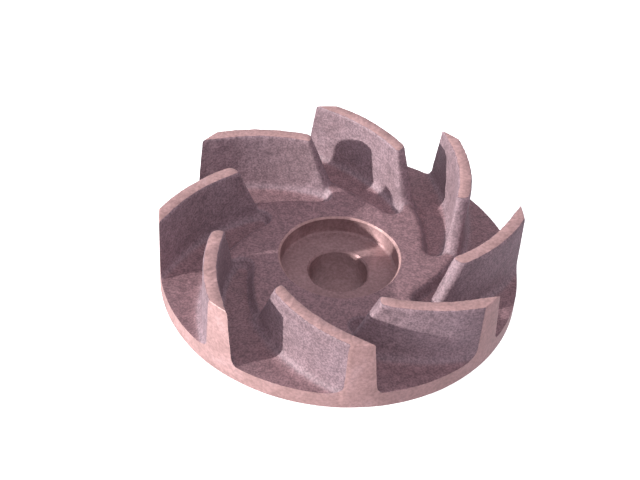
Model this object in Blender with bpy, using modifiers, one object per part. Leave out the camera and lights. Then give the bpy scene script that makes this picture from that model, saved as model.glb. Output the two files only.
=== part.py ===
"""Semi-open water pump impeller: one iron casting, machined on its running faces.

Metres, +Z up. The shaft axis is Z, the origin is the centre of the rear boss's flat end,
and the eight vanes stand on the plate's upper side, towards the inlet.
"""
import math

import bmesh
import bpy

MM = 0.001
INCH = 0.0254

# Plate and rear boss
OUTER_RADIUS = 3.75 * INCH / 2
RIM_THICKNESS = 4.6 * MM
MIDDLE_THICKNESS = 3.2 * MM
BOSS_LENGTH = 14.3 * MM
BOSS_RADIUS = 16.5 * MM
BOSS_DRAFT = math.radians(2)
BOSS_FILLET = 3.0 * MM
BOSS_CHAMFER = 0.8 * MM

# Shaft bore and the counterbore around it
BORE_RADIUS = 5 / 8 * INCH / 2
SEAT_RADIUS = 1.25 * INCH / 2
SEAT_DEPTH = 5.3 * MM
EDGE_CHAMFER = 0.5 * MM

# Vanes, each a strip along one arc that runs inward clockwise, seen from the inlet
VANE_COUNT = 8
VANE_HEIGHT = 21.7 * MM
VANE_THICKNESS = 3.6 * MM
CONVEX_DRAFT = math.radians(0.7)
RIM_CONCAVE_DRAFT = math.radians(4)
NOSE_CONCAVE_DRAFT = math.radians(1.2)
RIM_FILLET = 2.0 * MM
NOSE_FILLET = 3.2 * MM
CAMBER_RADIUS = 46.5 * MM
CAMBER_CENTRE_DISTANCE = 24.1 * MM
CAMBER_CENTRE_ANGLE = math.radians(81)
CAMBER_OUTER_ANGLE = math.radians(-16)
CAMBER_TOP_TIP_ANGLE = math.radians(-57.5)
TIP_LEAN = math.radians(22)
RELIEF_START_ANGLE = math.radians(-24)
RELIEF_SLOPE = math.tan(math.radians(8))
NOSE_DEPTH = 1.0 * MM
NOSE_SKEW = 1.2 * MM

# Raised hub, whose edge carries each vane's arc on inwards and ends in a round pocket
HUB_THICKNESS = 7.0 * MM
HUB_ARC_START = math.radians(-60)
HUB_ARC_END = math.radians(-87)
HUB_ARC_LEAD = 1.8 * MM
POCKET_RADIUS = 2.8 * MM
HUB_FLARE = 1.4 * MM
HUB_EDGE_ROUND = 0.8 * MM

# How finely the round forms are divided
TURN_SEGMENTS = 72
FILLET_STEPS = 4
SIDE_STEPS = 10
NOSE_STEPS = 6
VANE_FILLET_STEPS = 3
HUB_EDGE_STEPS = 4
HUB_ARC_STEPS = 7
POCKET_STEPS = 6

# The casting is modelled with stock on its rim and a small cored hole, then it is machined
TURNING_STOCK = 3.0 * MM
CORE_RADIUS = 5.0 * MM
ROOT_DEPTH = 1.5 * MM
FILLET_TOE_DEPTH = 0.25 * MM
CUTTER_CLEARANCE = 5.0 * MM

PLATE_BACK = BOSS_LENGTH
HUB_TOP = PLATE_BACK + HUB_THICKNESS
SEAT_FLOOR = HUB_TOP - SEAT_DEPTH
VANE_TOP = PLATE_BACK + VANE_HEIGHT
MEAN_FLOOR_THICKNESS = (MIDDLE_THICKNESS + RIM_THICKNESS) / 2
CAMBER_CENTRE_X = CAMBER_CENTRE_DISTANCE * math.cos(CAMBER_CENTRE_ANGLE)
CAMBER_CENTRE_Y = CAMBER_CENTRE_DISTANCE * math.sin(CAMBER_CENTRE_ANGLE)

IRON_COLOUR = (0.21, 0.135, 0.14, 1.0)
IRON_ROUGHNESS = 0.62
IRON_METALLIC = 0.7


def clear_scene():
    for item in list(bpy.data.objects):
        bpy.data.objects.remove(item, do_unlink=True)


def new_collection(name):
    collection = bpy.data.collections.new(name)
    bpy.context.scene.collection.children.link(collection)
    return collection


def add_object(name, mesh, collection):
    item = bpy.data.objects.new(name, mesh)
    collection.objects.link(item)
    return item


def mark_as_cutter(item):
    item.hide_render = True
    item.display_type = "WIRE"


def iron_material():
    material = bpy.data.materials.new("cast_iron")
    material.use_nodes = True
    shader = material.node_tree.nodes["Principled BSDF"]
    shader.inputs["Base Color"].default_value = IRON_COLOUR
    shader.inputs["Roughness"].default_value = IRON_ROUGHNESS
    shader.inputs["Metallic"].default_value = IRON_METALLIC
    return material


def floor_height(radius):
    """Height of the channels' floor, which rises a little from the middle to the rim."""
    share = radius / OUTER_RADIUS
    return PLATE_BACK + MIDDLE_THICKNESS + share * (RIM_THICKNESS - MIDDLE_THICKNESS)


def boss_fillet_points():
    """Fillet between the plate's back and the boss, from the plate inwards and down."""
    centre_x = BOSS_RADIUS + BOSS_FILLET
    centre_z = PLATE_BACK - BOSS_FILLET
    turn = math.pi / 2 - BOSS_DRAFT
    points = []
    for step in range(FILLET_STEPS + 1):
        angle = math.pi / 2 + turn * step / FILLET_STEPS
        x = centre_x + BOSS_FILLET * math.cos(angle)
        z = centre_z + BOSS_FILLET * math.sin(angle)
        points.append((x, z))
    return points


def disc_profile():
    """Closed half section of the cast plate and boss, outer side from top to bottom."""
    stock_radius = OUTER_RADIUS + TURNING_STOCK
    fillet = boss_fillet_points()
    boss_end_radius = fillet[-1][0] - fillet[-1][1] * math.tan(BOSS_DRAFT)
    points = [(CORE_RADIUS, floor_height(CORE_RADIUS))]
    points += [(stock_radius, floor_height(stock_radius)), (stock_radius, PLATE_BACK)]
    points += fillet
    points += [(boss_end_radius, BOSS_CHAMFER), (boss_end_radius - BOSS_CHAMFER, 0)]
    points.append((CORE_RADIUS, 0))
    return points


def envelope_profile():
    """Closed half section of all that machining leaves: rim, seat and bore."""
    top = VANE_TOP + CUTTER_CLEARANCE
    seat_mouth = SEAT_RADIUS + EDGE_CHAMFER + CUTTER_CLEARANCE
    bore_mouth = BORE_RADIUS + EDGE_CHAMFER + CUTTER_CLEARANCE
    return [
        (seat_mouth, top),
        (OUTER_RADIUS, top),
        (OUTER_RADIUS, -CUTTER_CLEARANCE),
        (bore_mouth, -CUTTER_CLEARANCE),
        (BORE_RADIUS, EDGE_CHAMFER),
        (BORE_RADIUS, SEAT_FLOOR - EDGE_CHAMFER),
        (BORE_RADIUS + EDGE_CHAMFER, SEAT_FLOOR),
        (SEAT_RADIUS, SEAT_FLOOR),
        (SEAT_RADIUS, HUB_TOP - EDGE_CHAMFER),
        (seat_mouth, HUB_TOP + CUTTER_CLEARANCE),
    ]


def make_turned(name, profile, collection):
    """Spin a closed half section about the shaft axis."""
    mesh = bpy.data.meshes.new(name)
    edges = [(index, (index + 1) % len(profile)) for index in range(len(profile))]
    mesh.from_pydata([(x, 0, z) for x, z in profile], edges, [])
    turned = add_object(name, mesh, collection)
    screw = turned.modifiers.new("turn", "SCREW")
    screw.axis = "Z"
    screw.steps = TURN_SEGMENTS
    screw.render_steps = TURN_SEGMENTS
    screw.use_merge_vertices = True
    screw.merge_threshold = 0.00001
    mark_as_cutter(turned)
    return turned


def beside_camber(angle, offset):
    """Plan point at an angle along the vane's arc, offset to its convex side."""
    radius = CAMBER_RADIUS + offset
    x = CAMBER_CENTRE_X + radius * math.cos(angle)
    y = CAMBER_CENTRE_Y + radius * math.sin(angle)
    return x, y


def inward_share(angle):
    """How far an angle on the vane's arc is from the rim, as a share of the way to the nose."""
    share = (angle - CAMBER_OUTER_ANGLE) / (CAMBER_TOP_TIP_ANGLE - CAMBER_OUTER_ANGLE)
    return min(1, share)


def vane_outline(rise, spread, lift):
    """Points (x, y, height over the floor) round a vane.

    Rise and spread are shares of the foot fillet, and lift is a height added to it. The sides
    are arcs with draft, and the concave one is relieved a little at the rim. Towards its top
    the nose is cut back on its convex side.
    """
    full_height = VANE_HEIGHT - MEAN_FLOOR_THICKNESS
    below_top = full_height - NOSE_FILLET * rise - lift
    lean = below_top * math.tan(TIP_LEAN) + NOSE_FILLET * spread
    tip = CAMBER_TOP_TIP_ANGLE - lean / CAMBER_RADIUS
    nose = NOSE_DEPTH / CAMBER_RADIUS
    skew = NOSE_SKEW / CAMBER_RADIUS * max(0, 1 - below_top / full_height)
    path = []
    for step in range(SIDE_STEPS):
        share = step / SIDE_STEPS
        path.append((CAMBER_OUTER_ANGLE + (tip + nose + skew - CAMBER_OUTER_ANGLE) * share, 1))
    for step in range(NOSE_STEPS + 1):
        turn = math.pi * step / NOSE_STEPS
        cut = skew * (1 + math.cos(turn)) / 2
        path.append((tip + nose - nose * math.sin(turn) + cut, math.cos(turn)))
    for step in range(SIDE_STEPS - 1, -1, -1):
        share = step / SIDE_STEPS
        path.append((CAMBER_OUTER_ANGLE + (tip + nose - CAMBER_OUTER_ANGLE) * share, -1))
    points = []
    for angle, side in path:
        share = inward_share(angle)
        fillet = RIM_FILLET + share * (1 + side) / 2 * (NOSE_FILLET - RIM_FILLET)
        draft = RIM_CONCAVE_DRAFT + share * (NOSE_CONCAVE_DRAFT - RIM_CONCAVE_DRAFT)
        height = fillet * rise + lift
        relief = max(0, angle - RELIEF_START_ANGLE) * CAMBER_RADIUS * RELIEF_SLOPE
        half = VANE_THICKNESS / 2 + fillet * spread
        convex = half + (full_height - height) * math.tan(CONVEX_DRAFT)
        concave = half + (full_height - height) * math.tan(draft) - relief
        offset = (convex - concave + side * (convex + concave)) / 2
        points.append((*beside_camber(angle, offset), height))
    return points


def vane_rings():
    """Rings of points from the vane's buried root, over its foot fillet, to its flat top."""
    levels = [(0, 1, -ROOT_DEPTH), (0, 1, -FILLET_TOE_DEPTH)]
    for step in range(1, VANE_FILLET_STEPS + 1):
        turn = math.pi / 2 * step / VANE_FILLET_STEPS
        levels.append((1 - math.cos(turn), 1 - math.sin(turn), 0))
    rings = []
    for level in levels:
        outline = vane_outline(*level)
        rings.append([(x, y, floor_height(math.hypot(x, y)) + height) for x, y, height in outline])
    top = vane_outline(0, 0, VANE_HEIGHT - MEAN_FLOOR_THICKNESS)
    rings.append([(x, y, VANE_TOP) for x, y, height in top])
    return rings


def hub_outline(flare):
    """Plan outline of the raised hub: eight arcs, each ending in a half-round pocket."""
    pocket = POCKET_RADIUS - flare
    sector = []
    for step in range(HUB_ARC_STEPS + 1):
        share = step / HUB_ARC_STEPS
        angle = HUB_ARC_START + (HUB_ARC_END - HUB_ARC_START) * share
        sector.append(beside_camber(angle, flare + HUB_ARC_LEAD * (1 - share)))
    centre_x, centre_y = beside_camber(HUB_ARC_END, POCKET_RADIUS)
    for step in range(1, POCKET_STEPS + 1):
        angle = HUB_ARC_END + math.pi + math.pi * step / POCKET_STEPS
        sector.append((centre_x + pocket * math.cos(angle), centre_y + pocket * math.sin(angle)))
    outline = []
    for number in range(VANE_COUNT):
        turn = -math.tau * number / VANE_COUNT
        for x, y in sector:
            turned_x = x * math.cos(turn) - y * math.sin(turn)
            turned_y = x * math.sin(turn) + y * math.cos(turn)
            outline.append((turned_x, turned_y))
    outline.reverse()
    return outline


def hub_rings():
    """Rings of points from the hub's buried root, up its soft edge, to its flat top."""
    rings = [[(x, y, PLATE_BACK + ROOT_DEPTH) for x, y in hub_outline(HUB_FLARE)]]
    for step in range(HUB_EDGE_STEPS + 1):
        share = step / HUB_EDGE_STEPS
        rise = share * share * (3 - 2 * share)
        ring = []
        for x, y in hub_outline(HUB_FLARE - (HUB_FLARE + HUB_EDGE_ROUND) * share):
            floor = floor_height(math.hypot(x, y))
            ring.append((x, y, floor + (HUB_TOP - floor) * rise))
        rings.append(ring)
    return rings


def add_loft(builder, rings, turn=0):
    """Loft one closed body through its rings, turned about the shaft axis."""
    cosine = math.cos(turn)
    sine = math.sin(turn)
    layers = []
    for ring in rings:
        places = [(x * cosine - y * sine, x * sine + y * cosine, z) for x, y, z in ring]
        layers.append([builder.verts.new(place) for place in places])
    for lower, upper in zip(layers, layers[1:]):
        for index in range(len(lower)):
            following = (index + 1) % len(lower)
            builder.faces.new((lower[index], lower[following], upper[following], upper[index]))
    builder.faces.new(list(reversed(layers[0])))
    builder.faces.new(layers[-1])


def finish_cutter(name, builder, collection):
    bmesh.ops.recalc_face_normals(builder, faces=builder.faces)
    mesh = bpy.data.meshes.new(name)
    builder.to_mesh(mesh)
    builder.free()
    item = add_object(name, mesh, collection)
    mark_as_cutter(item)
    return item


def make_vanes(collection):
    builder = bmesh.new()
    rings = vane_rings()
    for number in range(VANE_COUNT):
        add_loft(builder, rings, math.tau * number / VANE_COUNT)
    return finish_cutter("vane_set", builder, collection)


def make_hub(collection):
    builder = bmesh.new()
    add_loft(builder, hub_rings())
    return finish_cutter("raised_hub", builder, collection)


def add_boolean(item, name, operation, other):
    modifier = item.modifiers.new(name, "BOOLEAN")
    modifier.operation = operation
    modifier.solver = "EXACT"
    modifier.object = other


def make_impeller(parts, cutters):
    """Join hub and vanes to the plate, machine the casting and keep the finished mesh."""
    casting = make_turned("impeller_casting", disc_profile(), cutters)
    envelope = make_turned("machining_envelope", envelope_profile(), cutters)
    add_boolean(casting, "cast_hub", "UNION", make_hub(cutters))
    add_boolean(casting, "cast_vanes", "UNION", make_vanes(cutters))
    add_boolean(casting, "machine", "INTERSECT", envelope)
    graph = bpy.context.evaluated_depsgraph_get()
    graph.update()
    mesh = bpy.data.meshes.new_from_object(casting.evaluated_get(graph))
    mesh.name = "impeller"
    mesh.materials.clear()
    mesh.materials.append(iron_material())
    mesh.shade_smooth()
    mesh.set_sharp_from_angle(angle=math.radians(35))
    return add_object("impeller", mesh, parts)


def main():
    clear_scene()
    parts = new_collection("water_pump_impeller")
    cutters = new_collection("cutters")
    make_impeller(parts, cutters)


main()
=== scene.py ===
"""Looks of a water pump impeller: one iron casting with turned faces, on a pale floor.

Metres, +Z up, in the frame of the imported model. The shaft axis is Z, and the origin is the
centre of the rear boss's flat end.
"""
import math

import bmesh
import bpy
import numpy as np
from mathutils import Matrix, Vector, noise


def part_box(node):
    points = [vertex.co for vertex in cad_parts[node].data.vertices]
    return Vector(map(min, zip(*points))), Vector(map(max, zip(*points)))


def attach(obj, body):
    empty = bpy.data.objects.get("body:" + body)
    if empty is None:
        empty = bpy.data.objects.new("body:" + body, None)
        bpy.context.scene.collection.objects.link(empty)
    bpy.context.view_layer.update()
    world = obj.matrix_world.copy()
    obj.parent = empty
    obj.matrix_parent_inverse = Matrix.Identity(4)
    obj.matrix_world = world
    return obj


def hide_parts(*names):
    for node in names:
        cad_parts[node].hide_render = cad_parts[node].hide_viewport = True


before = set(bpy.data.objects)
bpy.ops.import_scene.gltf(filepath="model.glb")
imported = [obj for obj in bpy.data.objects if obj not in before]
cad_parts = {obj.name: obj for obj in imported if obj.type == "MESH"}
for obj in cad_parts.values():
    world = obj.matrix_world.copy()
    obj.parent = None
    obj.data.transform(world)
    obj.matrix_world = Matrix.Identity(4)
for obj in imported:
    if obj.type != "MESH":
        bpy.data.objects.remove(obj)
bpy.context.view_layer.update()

MM = 0.001
INCH = 0.0254

# Plate and rear boss
OUTER_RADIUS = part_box("impeller")[1].x
VANE_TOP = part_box("impeller")[1].z
VANE_HEIGHT = 21.7 * MM
PLATE_BACK = VANE_TOP - VANE_HEIGHT
RIM_THICKNESS = 4.6 * MM
MIDDLE_THICKNESS = 3.2 * MM
MEAN_FLOOR_THICKNESS = (MIDDLE_THICKNESS + RIM_THICKNESS) / 2
BOSS_RADIUS = 16.5 * MM
BOSS_DRAFT = math.radians(2)
BOSS_FILLET = 3.0 * MM
BOSS_CHAMFER = 0.8 * MM

# Raised hub, its pockets, the seat and the bore
HUB_TOP = PLATE_BACK + 7.0 * MM
HUB_ARC_START = math.radians(-60)
HUB_ARC_END = math.radians(-87)
HUB_ARC_LEAD = 1.8 * MM
POCKET_RADIUS = 2.8 * MM
HUB_FLARE = 1.4 * MM
HUB_EDGE_ROUND = 0.8 * MM
SEAT_RADIUS = 1.25 * INCH / 2
SEAT_FLOOR = HUB_TOP - 5.3 * MM
BORE_RADIUS = 5 / 8 * INCH / 2
SEAT_CORNER = 0.8 * MM
EDGE_CHAMFER = 0.5 * MM
EDGE_ROUND = 0.35 * MM

# Vanes, each a strip along one arc
VANE_COUNT = 8
VANE_THICKNESS = 3.6 * MM
CONVEX_DRAFT = math.radians(0.7)
RIM_CONCAVE_DRAFT = math.radians(4)
NOSE_CONCAVE_DRAFT = math.radians(1.2)
RIM_FILLET = 2.0 * MM
NOSE_FILLET = 3.2 * MM
CAMBER_RADIUS = 46.5 * MM
CAMBER_CENTRE_X = 24.1 * MM * math.cos(math.radians(81))
CAMBER_CENTRE_Y = 24.1 * MM * math.sin(math.radians(81))
CAMBER_OUTER_ANGLE = math.radians(-16)
CAMBER_TOP_TIP_ANGLE = math.radians(-57.5)
TIP_LEAN = math.radians(22)
RELIEF_START_ANGLE = math.radians(-24)
RELIEF_SLOPE = math.tan(math.radians(8))
NOSE_DEPTH = 1.0 * MM
NOSE_SKEW = 1.2 * MM

# The raw casting, before it is machined
STOCK = 1.2 * MM
TOP_STOCK = 0.25 * MM
CORE_RADIUS = 5.0 * MM
ROOT_DEPTH = 1.5 * MM
TURN_SEGMENTS = 192
SIDE_STEPS = 28
NOSE_STEPS = 12
FILLET_STEPS = 6
CORNER_STEPS = 4
HUB_EDGE_STEPS = 6
HUB_ARC_STEPS = 14
POCKET_STEPS = 12
SKIN_VOXEL = 0.55 * MM
SKIN_SMOOTHING = 3
MOUTH_CLEARANCE = 3 * MM
BACK_CLEARANCE = 5 * MM
SHARP_EDGE = math.radians(38)

# Uneven sand-cast skin: how long and how deep its waves, lumps and grains are
SKIN_RELIEF = [
    (9.0 * MM, 0.10 * MM),
    (2.2 * MM, 0.05 * MM),
    (1.0 * MM, 0.045 * MM),
]

# Camera, from the photograph's ellipses
CAMERA_ELEVATION = math.radians(41.167)
CAMERA_ROLL = math.radians(4.375)
CAMERA_DISTANCE = 7.818 * OUTER_RADIUS
CAMERA_TARGET = Vector((-0.1162 * OUTER_RADIUS, 0, PLATE_BACK + 0.2539 * OUTER_RADIUS))
CAMERA_LENS = 79.38
SENSOR_WIDTH = 36

# Lights: a low hard one from the left, two faint ones and the bright room
KEY_AZIMUTH = -160.5
KEY_ELEVATION = 17.5
KEY_POWER = 5.1
KEY_COLOUR = (1.0, 0.97, 0.93)
COOL_FILL = (0.75, 0.92, 1.0)
WARM_FILL = (1.0, 0.82, 0.84)
ROOM_COLOUR = (0.97, 0.91, 0.99)
ROOM_STRENGTH = 0.69
FLOOR_WIDTH = 6.0


def add_object(name, mesh):
    item = bpy.data.objects.new(name, mesh)
    bpy.context.scene.collection.objects.link(item)
    return item


def baked(item, name):
    """The item's evaluated mesh, as a new mesh."""
    graph = bpy.context.evaluated_depsgraph_get()
    graph.update()
    mesh = bpy.data.meshes.new_from_object(item.evaluated_get(graph))
    mesh.name = name
    return mesh


def turned(name, profile):
    """Mesh of a closed half section spun about the shaft axis."""
    mesh = bpy.data.meshes.new(name)
    edges = [(index, (index + 1) % len(profile)) for index in range(len(profile))]
    mesh.from_pydata([(x, 0, z) for x, z in profile], edges, [])
    item = add_object(name, mesh)
    screw = item.modifiers.new("turn", "SCREW")
    screw.axis = "Z"
    screw.steps = TURN_SEGMENTS
    screw.render_steps = TURN_SEGMENTS
    screw.use_merge_vertices = True
    screw.merge_threshold = 0.000001
    result = baked(item, name)
    bpy.data.objects.remove(item)
    return result


def floor_height(radius):
    """Height of the channels' floor, which rises a little from the middle to the rim."""
    share = radius / OUTER_RADIUS
    return PLATE_BACK + MIDDLE_THICKNESS + share * (RIM_THICKNESS - MIDDLE_THICKNESS)


def boss_profile():
    """Back of the plate over the fillet and down the boss's side, with stock on its end."""
    centre_x = BOSS_RADIUS + BOSS_FILLET
    centre_z = PLATE_BACK - BOSS_FILLET
    turn = math.pi / 2 - BOSS_DRAFT
    points = []
    for step in range(FILLET_STEPS + 1):
        angle = math.pi / 2 + turn * step / FILLET_STEPS
        x = centre_x + BOSS_FILLET * math.cos(angle)
        z = centre_z + BOSS_FILLET * math.sin(angle)
        points.append((x, z))
    last_x, last_z = points[-1]
    points.append((last_x - (last_z + STOCK) * math.tan(BOSS_DRAFT), -STOCK))
    return points


def raw_disc():
    """The plate and boss as cast, with stock on the rim and a small cored hole."""
    rim = OUTER_RADIUS + STOCK
    profile = [(CORE_RADIUS, floor_height(CORE_RADIUS)), (rim, floor_height(rim))]
    profile.append((rim, PLATE_BACK))
    profile += boss_profile()
    profile.append((CORE_RADIUS, -STOCK))
    return turned("raw_disc", profile)


def beside_camber(angle, offset):
    """Plan point at an angle along the vane's arc, offset to its convex side."""
    radius = CAMBER_RADIUS + offset
    x = CAMBER_CENTRE_X + radius * math.cos(angle)
    y = CAMBER_CENTRE_Y + radius * math.sin(angle)
    return x, y


def inward_share(angle):
    """How far an angle on the vane's arc is from the rim, as a share of the way to the nose."""
    share = (angle - CAMBER_OUTER_ANGLE) / (CAMBER_TOP_TIP_ANGLE - CAMBER_OUTER_ANGLE)
    return min(1, share)


def vane_outline(rise, spread, lift):
    """Points (x, y, height over the floor) round a vane.

    Rise and spread are shares of the foot fillet, and lift is a height added to it. The sides
    are arcs with draft, and the concave one is relieved a little at the rim. Towards its top
    the nose is cut back on its convex side.
    """
    full_height = VANE_HEIGHT - MEAN_FLOOR_THICKNESS
    below_top = full_height - NOSE_FILLET * rise - lift
    lean = below_top * math.tan(TIP_LEAN) + NOSE_FILLET * spread
    tip = CAMBER_TOP_TIP_ANGLE - lean / CAMBER_RADIUS
    nose = NOSE_DEPTH / CAMBER_RADIUS
    skew = NOSE_SKEW / CAMBER_RADIUS * max(0, 1 - below_top / full_height)
    path = []
    for step in range(SIDE_STEPS):
        share = step / SIDE_STEPS
        path.append((CAMBER_OUTER_ANGLE + (tip + nose + skew - CAMBER_OUTER_ANGLE) * share, 1))
    for step in range(NOSE_STEPS + 1):
        turn = math.pi * step / NOSE_STEPS
        cut = skew * (1 + math.cos(turn)) / 2
        path.append((tip + nose - nose * math.sin(turn) + cut, math.cos(turn)))
    for step in range(SIDE_STEPS - 1, -1, -1):
        share = step / SIDE_STEPS
        path.append((CAMBER_OUTER_ANGLE + (tip + nose - CAMBER_OUTER_ANGLE) * share, -1))
    points = []
    for angle, side in path:
        share = inward_share(angle)
        fillet = RIM_FILLET + share * (1 + side) / 2 * (NOSE_FILLET - RIM_FILLET)
        draft = RIM_CONCAVE_DRAFT + share * (NOSE_CONCAVE_DRAFT - RIM_CONCAVE_DRAFT)
        height = fillet * rise + lift
        relief = max(0, angle - RELIEF_START_ANGLE) * CAMBER_RADIUS * RELIEF_SLOPE
        half = VANE_THICKNESS / 2 + fillet * spread
        convex = half + (full_height - height) * math.tan(CONVEX_DRAFT)
        concave = half + (full_height - height) * math.tan(draft) - relief
        offset = (convex - concave + side * (convex + concave)) / 2
        points.append((*beside_camber(angle, offset), height))
    return points


def vane_rings():
    """Rings of points from the vane's buried root, over its foot fillet, to above its top."""
    levels = [(0, 1, -ROOT_DEPTH)]
    for step in range(FILLET_STEPS + 1):
        turn = math.pi / 2 * step / FILLET_STEPS
        levels.append((1 - math.cos(turn), 1 - math.sin(turn), 0))
    rings = []
    for level in levels:
        outline = vane_outline(*level)
        rings.append([(x, y, floor_height(math.hypot(x, y)) + height) for x, y, height in outline])
    top = vane_outline(0, 0, VANE_HEIGHT + TOP_STOCK - MEAN_FLOOR_THICKNESS)
    rings.append([(x, y, VANE_TOP + TOP_STOCK) for x, y, height in top])
    return rings


def hub_outline(flare):
    """Plan outline of the raised hub: eight arcs, each ending in a half-round pocket."""
    pocket = POCKET_RADIUS - flare
    sector = []
    for step in range(HUB_ARC_STEPS + 1):
        share = step / HUB_ARC_STEPS
        angle = HUB_ARC_START + (HUB_ARC_END - HUB_ARC_START) * share
        sector.append(beside_camber(angle, flare + HUB_ARC_LEAD * (1 - share)))
    centre_x, centre_y = beside_camber(HUB_ARC_END, POCKET_RADIUS)
    for step in range(1, POCKET_STEPS + 1):
        angle = HUB_ARC_END + math.pi + math.pi * step / POCKET_STEPS
        sector.append((centre_x + pocket * math.cos(angle), centre_y + pocket * math.sin(angle)))
    outline = []
    for number in range(VANE_COUNT):
        turn = -math.tau * number / VANE_COUNT
        for x, y in sector:
            turned_x = x * math.cos(turn) - y * math.sin(turn)
            turned_y = x * math.sin(turn) + y * math.cos(turn)
            outline.append((turned_x, turned_y))
    outline.reverse()
    return outline


def hub_rings():
    """Rings of points from the hub's buried root, up its soft edge, to its flat top."""
    rings = [[(x, y, PLATE_BACK + ROOT_DEPTH) for x, y in hub_outline(HUB_FLARE)]]
    for step in range(HUB_EDGE_STEPS + 1):
        share = step / HUB_EDGE_STEPS
        rise = share * share * (3 - 2 * share)
        ring = []
        for x, y in hub_outline(HUB_FLARE - (HUB_FLARE + HUB_EDGE_ROUND) * share):
            floor = floor_height(math.hypot(x, y))
            ring.append((x, y, floor + (HUB_TOP - floor) * rise))
        rings.append(ring)
    return rings


def add_loft(builder, rings, turn=0):
    """Loft one closed body through its rings, turned about the shaft axis."""
    cosine = math.cos(turn)
    sine = math.sin(turn)
    layers = []
    for ring in rings:
        places = [(x * cosine - y * sine, x * sine + y * cosine, z) for x, y, z in ring]
        layers.append([builder.verts.new(place) for place in places])
    for lower, upper in zip(layers, layers[1:]):
        for index in range(len(lower)):
            following = (index + 1) % len(lower)
            builder.faces.new((lower[index], lower[following], upper[following], upper[index]))
    builder.faces.new(list(reversed(layers[0])))
    builder.faces.new(layers[-1])


def raw_casting():
    """Plate, hub and vanes fused into one skin, with the soft inner corners of a casting."""
    builder = bmesh.new()
    builder.from_mesh(raw_disc())
    add_loft(builder, hub_rings())
    rings = vane_rings()
    for number in range(VANE_COUNT):
        add_loft(builder, rings, math.tau * number / VANE_COUNT)
    bmesh.ops.recalc_face_normals(builder, faces=builder.faces)
    mesh = bpy.data.meshes.new("raw_casting")
    builder.to_mesh(mesh)
    builder.free()
    item = add_object("raw_casting", mesh)
    remesh = item.modifiers.new("skin", "REMESH")
    remesh.mode = "VOXEL"
    remesh.voxel_size = SKIN_VOXEL
    smooth = item.modifiers.new("soften", "SMOOTH")
    smooth.factor = 0.5
    smooth.iterations = SKIN_SMOOTHING
    skin = baked(item, "raw_casting")
    bpy.data.objects.remove(item)
    return skin


def roughen(mesh):
    """Move the skin in and out along its normals, as sand leaves it."""
    count = len(mesh.vertices)
    places = np.empty(count * 3, np.float32)
    mesh.vertices.foreach_get("co", places)
    places = places.reshape(-1, 3)
    normals = np.empty(count * 3, np.float32)
    mesh.vertex_normals.foreach_get("vector", normals)
    normals = normals.reshape(-1, 3)
    push = np.zeros(count, np.float32)
    for index, place in enumerate(places):
        point = Vector(place)
        for length, depth in SKIN_RELIEF:
            push[index] += depth * noise.noise(point / length)
    places += normals * push[:, None]
    mesh.vertices.foreach_set("co", places.ravel())
    mesh.update()


def corner(x, z, radius, start):
    """Quarter round of a half section about its centre, from a start angle anticlockwise."""
    points = []
    for step in range(CORNER_STEPS + 1):
        angle = math.radians(start + 90 * step / CORNER_STEPS)
        points.append((x + radius * math.cos(angle), z + radius * math.sin(angle)))
    return points


def machining_envelope():
    """Everything inside the turned faces: rim, vane tops, seat, bore and the boss's end."""
    boss_end = boss_profile()[-1][0] + STOCK * math.tan(BOSS_DRAFT)
    behind = BOSS_CHAMFER + BACK_CLEARANCE
    mouth = SEAT_RADIUS + MOUTH_CLEARANCE
    rim_round = corner(OUTER_RADIUS - EDGE_ROUND, VANE_TOP - EDGE_ROUND, EDGE_ROUND, 0)
    profile = [(mouth, VANE_TOP)]
    profile += reversed(rim_round)
    profile += [
        (OUTER_RADIUS, behind),
        (boss_end + BACK_CLEARANCE, behind),
        (boss_end - BOSS_CHAMFER, 0),
        (BORE_RADIUS + EDGE_CHAMFER, 0),
        (BORE_RADIUS, EDGE_CHAMFER),
        (BORE_RADIUS, SEAT_FLOOR - EDGE_CHAMFER),
        (BORE_RADIUS + EDGE_CHAMFER, SEAT_FLOOR),
    ]
    profile += corner(SEAT_RADIUS - SEAT_CORNER, SEAT_FLOOR + SEAT_CORNER, SEAT_CORNER, -90)
    profile += [
        (SEAT_RADIUS, HUB_TOP - EDGE_CHAMFER),
        (mouth, HUB_TOP - EDGE_CHAMFER + MOUTH_CLEARANCE),
    ]
    mesh = turned("machining_envelope", profile)
    mesh.materials.append(turned_face_material())
    mesh.materials.append(bored_face_material())
    for polygon in mesh.polygons:
        place = polygon.center
        if math.hypot(place.x, place.y) < SEAT_RADIUS and place.z < HUB_TOP:
            polygon.material_index = 1
    return add_object("machining_envelope", mesh)


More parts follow.
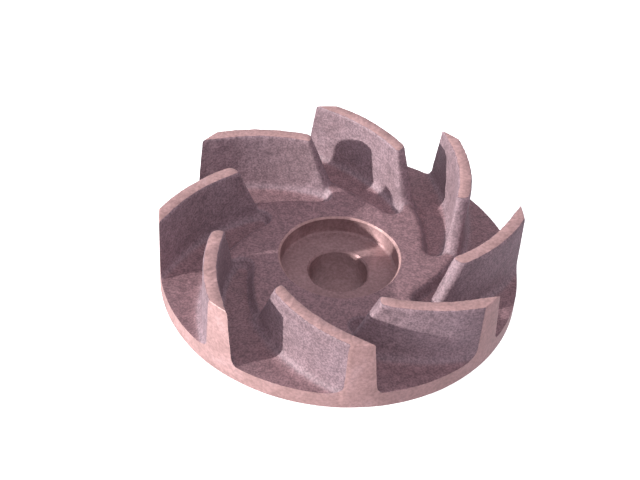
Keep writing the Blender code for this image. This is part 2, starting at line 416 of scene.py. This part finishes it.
class Nodes:
    """Short calls for building one material's node tree."""

    def __init__(self, name):
        self.material = bpy.data.materials.new(name)
        self.material.use_nodes = True
        self.tree = self.material.node_tree
        self.shader = self.tree.nodes["Principled BSDF"]

    def add(self, kind, **values):
        node = self.tree.nodes.new(kind)
        for key, value in values.items():
            setattr(node, key, value)
        return node

    def link(self, source, target):
        self.tree.links.new(source, target)

    def set(self, **values):
        """Plain values of the shader's own sockets, with _ for a space in their names."""
        for name, value in values.items():
            self.shader.inputs[name.replace("_", " ")].default_value = value

    def noise(self, vector, scale, detail, roughness, distortion=0.0):
        node = self.add("ShaderNodeTexNoise")
        node.inputs["Scale"].default_value = scale
        node.inputs["Detail"].default_value = detail
        node.inputs["Roughness"].default_value = roughness
        node.inputs["Distortion"].default_value = distortion
        self.link(vector, node.inputs["Vector"])
        return node.outputs["Fac"]

    def ramp(self, value, stops):
        node = self.add("ShaderNodeValToRGB")
        elements = node.color_ramp.elements
        while len(elements) < len(stops):
            elements.new(0.5)
        for element, (position, colour) in zip(elements, stops):
            element.position = position
            element.color = (*colour, 1)
        self.link(value, node.inputs["Fac"])
        return node.outputs["Color"]

    def maths(self, operation, first, second):
        node = self.add("ShaderNodeMath", operation=operation)
        for socket, value in zip(node.inputs, (first, second)):
            if isinstance(value, (int, float)):
                socket.default_value = value
            else:
                self.link(value, socket)
        return node.outputs["Value"]

    def span(self, value, low, high, start, end):
        node = self.add("ShaderNodeMapRange")
        self.link(value, node.inputs["Value"])
        numbers = zip(("From Min", "From Max", "To Min", "To Max"), (low, high, start, end))
        for name, number in numbers:
            node.inputs[name].default_value = number
        return node.outputs["Result"]

    def mix(self, kind, share, first, second):
        node = self.add("ShaderNodeMix", data_type="RGBA", blend_type=kind)
        sockets = (node.inputs[0], node.inputs[6], node.inputs[7])
        for socket, value in zip(sockets, (share, first, second)):
            if isinstance(value, (int, float)):
                socket.default_value = value
            elif isinstance(value, tuple):
                socket.default_value = (*value, 1)
            else:
                self.link(value, socket)
        return node.outputs[2]

    def bump(self, height, distance, strength):
        node = self.add("ShaderNodeBump")
        node.inputs["Distance"].default_value = distance
        node.inputs["Strength"].default_value = strength
        self.link(height, node.inputs["Height"])
        return node.outputs["Normal"]


def cast_skin_material():
    """Sand-cast iron: a dull brown-mauve skin with fine grains and small pits, with painted shade
    on faces turned upward.
    """
    nodes = Nodes("cast_skin")
    place = nodes.add("ShaderNodeTexCoord").outputs["Object"]
    blotch = nodes.noise(place, 60, 3, 0.55, 0.2)
    mottle = nodes.noise(place, 470, 3, 0.6)
    grain = nodes.noise(place, 1900, 2, 0.6)
    colour = nodes.ramp(blotch, [
        (0.34, (0.240, 0.165, 0.183)),
        (0.52, (0.266, 0.186, 0.208)),
        (0.68, (0.292, 0.208, 0.234)),
    ])
    # Faces turned upward are mixed towards a darker, redder colour: painted shade standing in for
    # how the light falls on the floors.
    level = nodes.add("ShaderNodeSeparateXYZ")
    nodes.link(nodes.add("ShaderNodeNewGeometry").outputs["Normal"], level.inputs["Vector"])
    upward_painted_shade = nodes.span(level.outputs["Z"], 0.75, 0.97, 0, 0.8)
    colour = nodes.mix("MIX", upward_painted_shade, colour, (0.262, 0.153, 0.165))
    tone = nodes.ramp(mottle, [(0.35, (0.84, 0.84, 0.85)), (0.65, (1.14, 1.14, 1.14))])
    colour = nodes.mix("MULTIPLY", 1.0, colour, tone)
    speckle = nodes.ramp(grain, [(0.38, (0.74, 0.74, 0.76)), (0.64, (1.26, 1.25, 1.26))])
    colour = nodes.mix("MULTIPLY", 1.0, colour, speckle)
    nodes.link(colour, nodes.shader.inputs["Base Color"])
    nodes.link(nodes.span(mottle, 0.3, 0.7, 0.55, 0.75), nodes.shader.inputs["Roughness"])
    nodes.set(Metallic=0.15)
    height = nodes.maths("ADD", nodes.maths("MULTIPLY", mottle, 0.6), grain)
    nodes.link(nodes.bump(height, 0.10 * MM, 0.8), nodes.shader.inputs["Normal"])
    return nodes.material


def turned_iron(name, stops, metallic, roughness, anisotropy):
    """Turned iron: fine rings round the shaft axis, with faint stains and grains."""
    nodes = Nodes(name)
    place = nodes.add("ShaderNodeTexCoord").outputs["Object"]
    split = nodes.add("ShaderNodeSeparateXYZ")
    nodes.link(place, split.inputs["Vector"])
    across = nodes.maths("MULTIPLY", split.outputs["X"], split.outputs["X"])
    along = nodes.maths("MULTIPLY", split.outputs["Y"], split.outputs["Y"])
    radius = nodes.maths("POWER", nodes.maths("ADD", across, along), 0.5)
    profile = nodes.add("ShaderNodeCombineXYZ")
    nodes.link(radius, profile.inputs["X"])
    nodes.link(split.outputs["Z"], profile.inputs["Y"])
    rings = nodes.noise(profile.outputs["Vector"], 3200, 2, 0.7)
    stain = nodes.noise(place, 160, 4, 0.6, 0.3)
    grain = nodes.noise(place, 1300, 2, 0.6)
    tone = nodes.ramp(grain, [(0.35, (0.84, 0.84, 0.84)), (0.65, (1.14, 1.14, 1.14))])
    colour = nodes.mix("MULTIPLY", 1.0, nodes.ramp(stain, stops), tone)
    nodes.link(colour, nodes.shader.inputs["Base Color"])
    finish = nodes.span(stain, 0.3, 0.7, roughness - 0.06, roughness + 0.08)
    nodes.link(finish, nodes.shader.inputs["Roughness"])
    tangent = nodes.add("ShaderNodeTangent", direction_type="RADIAL", axis="Z")
    nodes.link(tangent.outputs["Tangent"], nodes.shader.inputs["Tangent"])
    nodes.set(Metallic=metallic, Anisotropic=anisotropy, Anisotropic_Rotation=0.25)
    nodes.link(nodes.bump(rings, 0.02 * MM, 0.6), nodes.shader.inputs["Normal"])
    return nodes.material


def turned_face_material():
    """Rim, vane tops and the boss's end, dulled to a pinkish grey."""
    stops = [
        (0.32, (0.385, 0.236, 0.228)),
        (0.55, (0.455, 0.282, 0.276)),
        (0.75, (0.515, 0.335, 0.338)),
    ]
    return turned_iron("turned_iron", stops, 0.12, 0.46, 0.5)


def bored_face_material():
    """Seat and bore, cut cleaner than the outside."""
    stops = [
        (0.32, (0.300, 0.185, 0.190)),
        (0.55, (0.360, 0.225, 0.230)),
        (0.75, (0.430, 0.280, 0.290)),
    ]
    return turned_iron("bored_iron", stops, 0.6, 0.48, 0.8)


def make_impeller():
    """The raw casting cut back to its turned faces, as one closed mesh."""
    skin = raw_casting()
    roughen(skin)
    skin.materials.append(cast_skin_material())
    casting = add_object("cast_impeller", skin)
    envelope = machining_envelope()
    cut = casting.modifiers.new("machine", "BOOLEAN")
    cut.operation = "INTERSECT"
    cut.solver = "EXACT"
    cut.material_mode = "TRANSFER"
    cut.object = envelope
    mesh = baked(casting, "cast_impeller")
    casting.modifiers.clear()
    casting.data = mesh
    bpy.data.objects.remove(envelope)
    mesh.shade_smooth()
    mesh.set_sharp_from_angle(angle=SHARP_EDGE)
    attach(casting, "root")
    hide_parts("impeller")


def add_floor():
    """Pale floor, bright enough to read as the photograph's white surround."""
    mesh = bpy.data.meshes.new("floor")
    builder = bmesh.new()
    bmesh.ops.create_grid(builder, x_segments=1, y_segments=1, size=FLOOR_WIDTH / 2)
    builder.to_mesh(mesh)
    builder.free()
    floor = add_object("floor", mesh)
    nodes = Nodes("pale_floor")
    nodes.set(Base_Color=(0.80, 0.80, 0.80, 1), Roughness=0.9, Specular_IOR_Level=0.0)
    nodes.set(Emission_Color=(1, 1, 1, 1), Emission_Strength=0.85)
    mesh.materials.append(nodes.material)
    floor.visible_diffuse = False
    floor.visible_glossy = False


def add_camera():
    data = bpy.data.cameras.new("camera")
    data.lens = CAMERA_LENS
    data.sensor_width = SENSOR_WIDTH
    data.clip_start = 0.01
    camera = bpy.data.objects.new("camera", data)
    bpy.context.scene.collection.objects.link(camera)
    forward = Vector((0, math.cos(CAMERA_ELEVATION), -math.sin(CAMERA_ELEVATION)))
    right = Vector((1, 0, 0))
    up = right.cross(forward)
    across = math.cos(CAMERA_ROLL) * right + math.sin(CAMERA_ROLL) * up
    upright = math.cos(CAMERA_ROLL) * up - math.sin(CAMERA_ROLL) * right
    turn = Matrix((across, upright, -forward)).transposed().to_4x4()
    camera.matrix_world = Matrix.Translation(CAMERA_TARGET - CAMERA_DISTANCE * forward) @ turn
    bpy.context.scene.camera = camera


def add_sun(name, azimuth, elevation, spread, power, colour):
    """A distant light, placed by the compass angle and height it shines from."""
    data = bpy.data.lights.new(name, "SUN")
    data.angle = math.radians(spread)
    data.energy = power
    data.color = colour
    light = bpy.data.objects.new(name, data)
    bpy.context.scene.collection.objects.link(light)
    level = math.cos(math.radians(elevation))
    away = Vector((
        level * math.cos(math.radians(azimuth)),
        level * math.sin(math.radians(azimuth)),
        math.sin(math.radians(elevation)),
    ))
    light.rotation_euler = away.to_track_quat("Z", "Y").to_euler()
    return light


def add_fill(name, azimuth, elevation, power, colour):
    """A faint light without shadows or highlights, as thrown back by a bright room."""
    light = add_sun(name, azimuth, elevation, 20, power, colour)
    light.data.use_shadow = False
    light.visible_glossy = False


def add_lights():
    add_sun("key", KEY_AZIMUTH, KEY_ELEVATION, 1.5, KEY_POWER, KEY_COLOUR)
    add_fill("cool_fill", 165, 25, 0.30, COOL_FILL)
    add_fill("warm_fill", -100, 40, 0.55, WARM_FILL)
    world = bpy.data.worlds.new("studio")
    world.use_nodes = True
    background = world.node_tree.nodes["Background"]
    background.inputs["Color"].default_value = (*ROOM_COLOUR, 1)
    background.inputs["Strength"].default_value = ROOM_STRENGTH
    bpy.context.scene.world = world


def add_stage():
    add_floor()
    add_camera()
    add_lights()
    bpy.context.scene.view_settings.view_transform = "Standard"


make_impeller()
add_stage()
